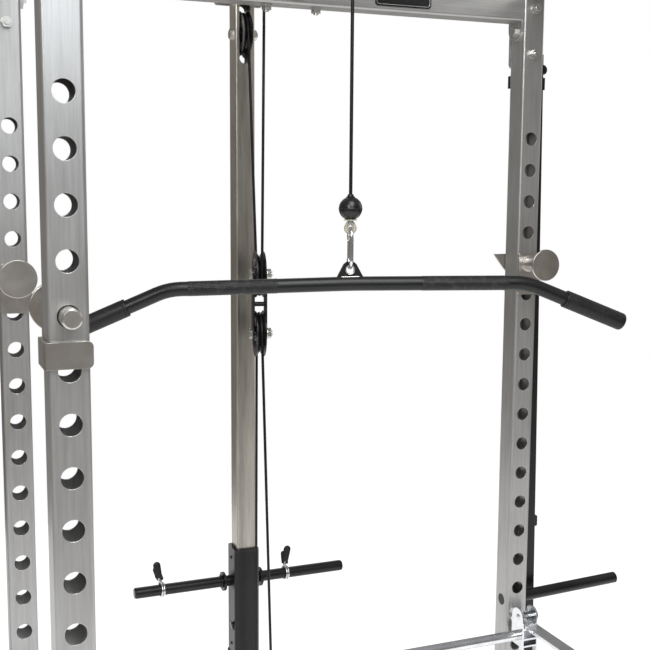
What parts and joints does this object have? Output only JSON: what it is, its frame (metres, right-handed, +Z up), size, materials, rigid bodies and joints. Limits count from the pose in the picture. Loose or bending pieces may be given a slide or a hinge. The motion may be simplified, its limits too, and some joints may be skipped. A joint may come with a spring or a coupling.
{
  "type": "power cage with lat tower",
  "caption": "Four-post power cage of square steel tube with adjustment holes, bar hooks, safety bars and a plate-loaded cable tower with a lat bar.",
  "frame": {"origin": "on the floor, at the centre of the outline, half way between the front uprights and the lat tower", "axes": "+Z up, +Y towards the lat tower, +X to the right of someone facing the tower"},
  "size_m": [1.6406, 1.24, 2.173],
  "materials": {
    "frame_satin": "satin",
    "tower_brushed": "brushed",
    "chrome": "polished",
    "zinc": "zinc plated",
    "hook_nickel": "satin nickel",
    "black_coat": "satin powder coat",
    "black_plastic": "moulded",
    "rubber": "matte",
    "cable_jacket": "smooth jacket"
  },
  "bodies": {
    "frame": {"upright_front_left": "frame_satin", "upright_front_right": "frame_satin", "upright_rear_left": "frame_satin", "upright_rear_right": "frame_satin", "base_rails": "frame_satin", "base_rear_crossmember": "frame_satin", "tower_base": "frame_satin", "tower": "tower_brushed", "carriage_bumper": "rubber", "top_rails": "frame_satin", "rear_top_crossmember": "frame_satin", "pull_up_bar": "black_coat", "label_plate": "black_plastic", "lat_boom": "frame_satin", "boom_clamp_plate": "frame_satin", "end_caps": "black_plastic", "floor_pads": "rubber", "frame_bolts": "zinc", "frame_nuts": "zinc", "pulley_axles": "zinc", "low_pulley_bracket": "frame_satin", "cable_turns": "cable_jacket", "cable_lat_run": "cable_jacket", "cable_carriage_run": "cable_jacket", "cable_block_runs": "cable_jacket", "cable_low_runs": "cable_jacket", "safety_brackets": "chrome", "rear_cross_tube": "chrome", "storage_horns": "black_coat", "rear_struts": "black_coat", "strut_knobs": "black_plastic"},
    "boom_front_wheel": {"boom_front_pulley": "black_plastic"},
    "boom_rear_wheel": {"boom_rear_pulley": "black_plastic"},
    "tower_wheel": {"tower_pulley": "black_plastic"},
    "low_wheel": {"low_pulley": "black_plastic"},
    "pulley_block": {"block_straps": "black_coat", "block_axles": "zinc", "cable_block_turns": "cable_jacket"},
    "block_upper_wheel": {"block_upper_pulley": "black_plastic"},
    "block_lower_wheel": {"block_lower_pulley": "black_plastic"},
    "carriage": {"carriage_sleeve": "black_coat", "carriage_bushes": "black_plastic", "plate_horns": "black_coat", "carriage_cable_end": "zinc"},
    "left_collar": {"spring_collar_left": "chrome"},
    "right_collar": {"spring_collar_right": "chrome"},
    "lat_line": {"ball_stop": "black_plastic"},
    "lat_hanger": {"cable_eye": "zinc", "snap_hook": "chrome", "lat_bar": "black_coat", "lat_bar_grips": "rubber"},
    "hook_gate": {"snap_gate": "chrome"},
    "low_line": {"cable_low_tail": "cable_jacket", "low_ball_stop": "black_plastic"},
    "front_left_hook": {"bar_hook_front_left": "hook_nickel"},
    "front_right_hook": {"bar_hook_front_right": "hook_nickel"},
    "rear_left_hook": {"bar_hook_rear_left": "hook_nickel"},
    "rear_right_hook": {"bar_hook_rear_right": "hook_nickel"},
    "left_safety_bar": {"safety_bar_left": "chrome"},
    "right_safety_bar": {"safety_bar_right": "chrome"}
  },
  "joints": [
    {"name": "carriage_slide", "type": "slide", "parent": "frame", "child": "carriage", "axis": [0, 0, 1], "range_m": [0, 0.65], "deforming": ["cable_carriage_run"]},
    {"name": "lat_slide", "type": "slide", "parent": "frame", "child": "lat_line", "axis": [0, 0, -1], "range_m": [0, 0.65], "deforming": ["cable_lat_run"]},
    {"name": "lat_bar_swivel", "type": "hinge", "parent": "lat_line", "child": "lat_hanger", "pos_m": [0, -0.12, 1.63], "axis": [0, 0, 1], "range_deg": [-60, 90]},
    {"name": "block_slide", "type": "slide", "parent": "frame", "child": "pulley_block", "axis": [0, 0, -1], "range_m": [0, 0.2], "deforming": ["cable_block_runs", "cable_low_runs"]},
    {"name": "low_line_pull", "type": "slide", "parent": "frame", "child": "low_line", "axis": [0, -1, 0], "range_m": [0, 0.4]},
    {"name": "boom_front_pulley_spin", "type": "hinge", "parent": "frame", "child": "boom_front_wheel", "pos_m": [0, -0.076, 2.123], "axis": [1, 0, 0], "range_deg": [-1, 846.9]},
    {"name": "boom_rear_pulley_spin", "type": "hinge", "parent": "frame", "child": "boom_rear_wheel", "pos_m": [0, 0.28, 2.123], "axis": [1, 0, 0], "range_deg": [-1, 846.9]},
    {"name": "tower_pulley_spin", "type": "hinge", "parent": "frame", "child": "tower_wheel", "pos_m": [0, 0.47, 2.032], "axis": [1, 0, 0], "range_deg": [-1, 846.9]},
    {"name": "block_upper_pulley_spin", "type": "hinge", "parent": "pulley_block", "child": "block_upper_wheel", "pos_m": [0, 0.355, 1.51], "axis": [0.9799, -0.1994, 0], "range_deg": [-846.9, 1]},
    {"name": "block_lower_pulley_spin", "type": "hinge", "parent": "pulley_block", "child": "block_lower_wheel", "pos_m": [0, 0.355, 1.381], "axis": [0.9799, -0.1994, 0], "range_deg": [-1, 260.9]},
    {"name": "low_pulley_spin", "type": "hinge", "parent": "frame", "child": "low_wheel", "pos_m": [0, 0.19, 0.112], "axis": [1, 0, 0], "range_deg": [-521.4, 1]},
    {"name": "snap_gate_hinge", "type": "hinge", "parent": "lat_hanger", "child": "hook_gate", "pos_m": [0.00406, -0.10556, 1.6057], "axis": [-0.9627, 0.2706, 0], "range_deg": [0, 22], "stiffness_Nm_per_rad": 0.02},
    {"name": "left_collar_slide", "type": "slide", "parent": "carriage", "child": "left_collar", "axis": [-1, 0, 0], "range_m": [-0.12, 0.09]},
    {"name": "right_collar_slide", "type": "slide", "parent": "carriage", "child": "right_collar", "axis": [1, 0, 0], "range_m": [-0.04, 0.18]},
    {"name": "front_left_hook_swing", "type": "hinge", "parent": "frame", "child": "front_left_hook", "pos_m": [-0.536, -0.47, 1.536], "axis": [0, 1, 0], "range_deg": [0, 90]},
    {"name": "front_right_hook_swing", "type": "hinge", "parent": "frame", "child": "front_right_hook", "pos_m": [0.536, -0.47, 1.536], "axis": [0, 1, 0], "range_deg": [0, 90]},
    {"name": "rear_left_hook_swing", "type": "hinge", "parent": "frame", "child": "rear_left_hook", "pos_m": [-0.536, 0.165, 1.536], "axis": [0, -1, 0], "range_deg": [0, 90]},
    {"name": "rear_right_hook_swing", "type": "hinge", "parent": "frame", "child": "rear_right_hook", "pos_m": [0.536, 0.165, 1.536], "axis": [0, -1, 0], "range_deg": [0, 90]},
    {"name": "left_safety_bar_lift", "type": "slide", "parent": "frame", "child": "left_safety_bar", "axis": [0, 0, 1], "range_m": [0, 0.12]},
    {"name": "right_safety_bar_lift", "type": "slide", "parent": "frame", "child": "right_safety_bar", "axis": [0, 0, 1], "range_m": [0, 0.12]}
  ],
  "couplings": [
    {"joint": "lat_slide", "follows": "carriage_slide", "ratio": 1},
    {"joint": "boom_front_pulley_spin", "follows": "carriage_slide", "rad_per_m": 22.727},
    {"joint": "boom_rear_pulley_spin", "follows": "carriage_slide", "rad_per_m": 22.727},
    {"joint": "tower_pulley_spin", "follows": "carriage_slide", "rad_per_m": 22.727},
    {"joint": "block_upper_pulley_spin", "follows": "carriage_slide", "rad_per_m": -22.727},
    {"joint": "low_line_pull", "follows": "block_slide", "ratio": 2},
    {"joint": "block_lower_pulley_spin", "follows": "block_slide", "rad_per_m": 22.727},
    {"joint": "low_pulley_spin", "follows": "block_slide", "rad_per_m": -45.455}
  ]
}
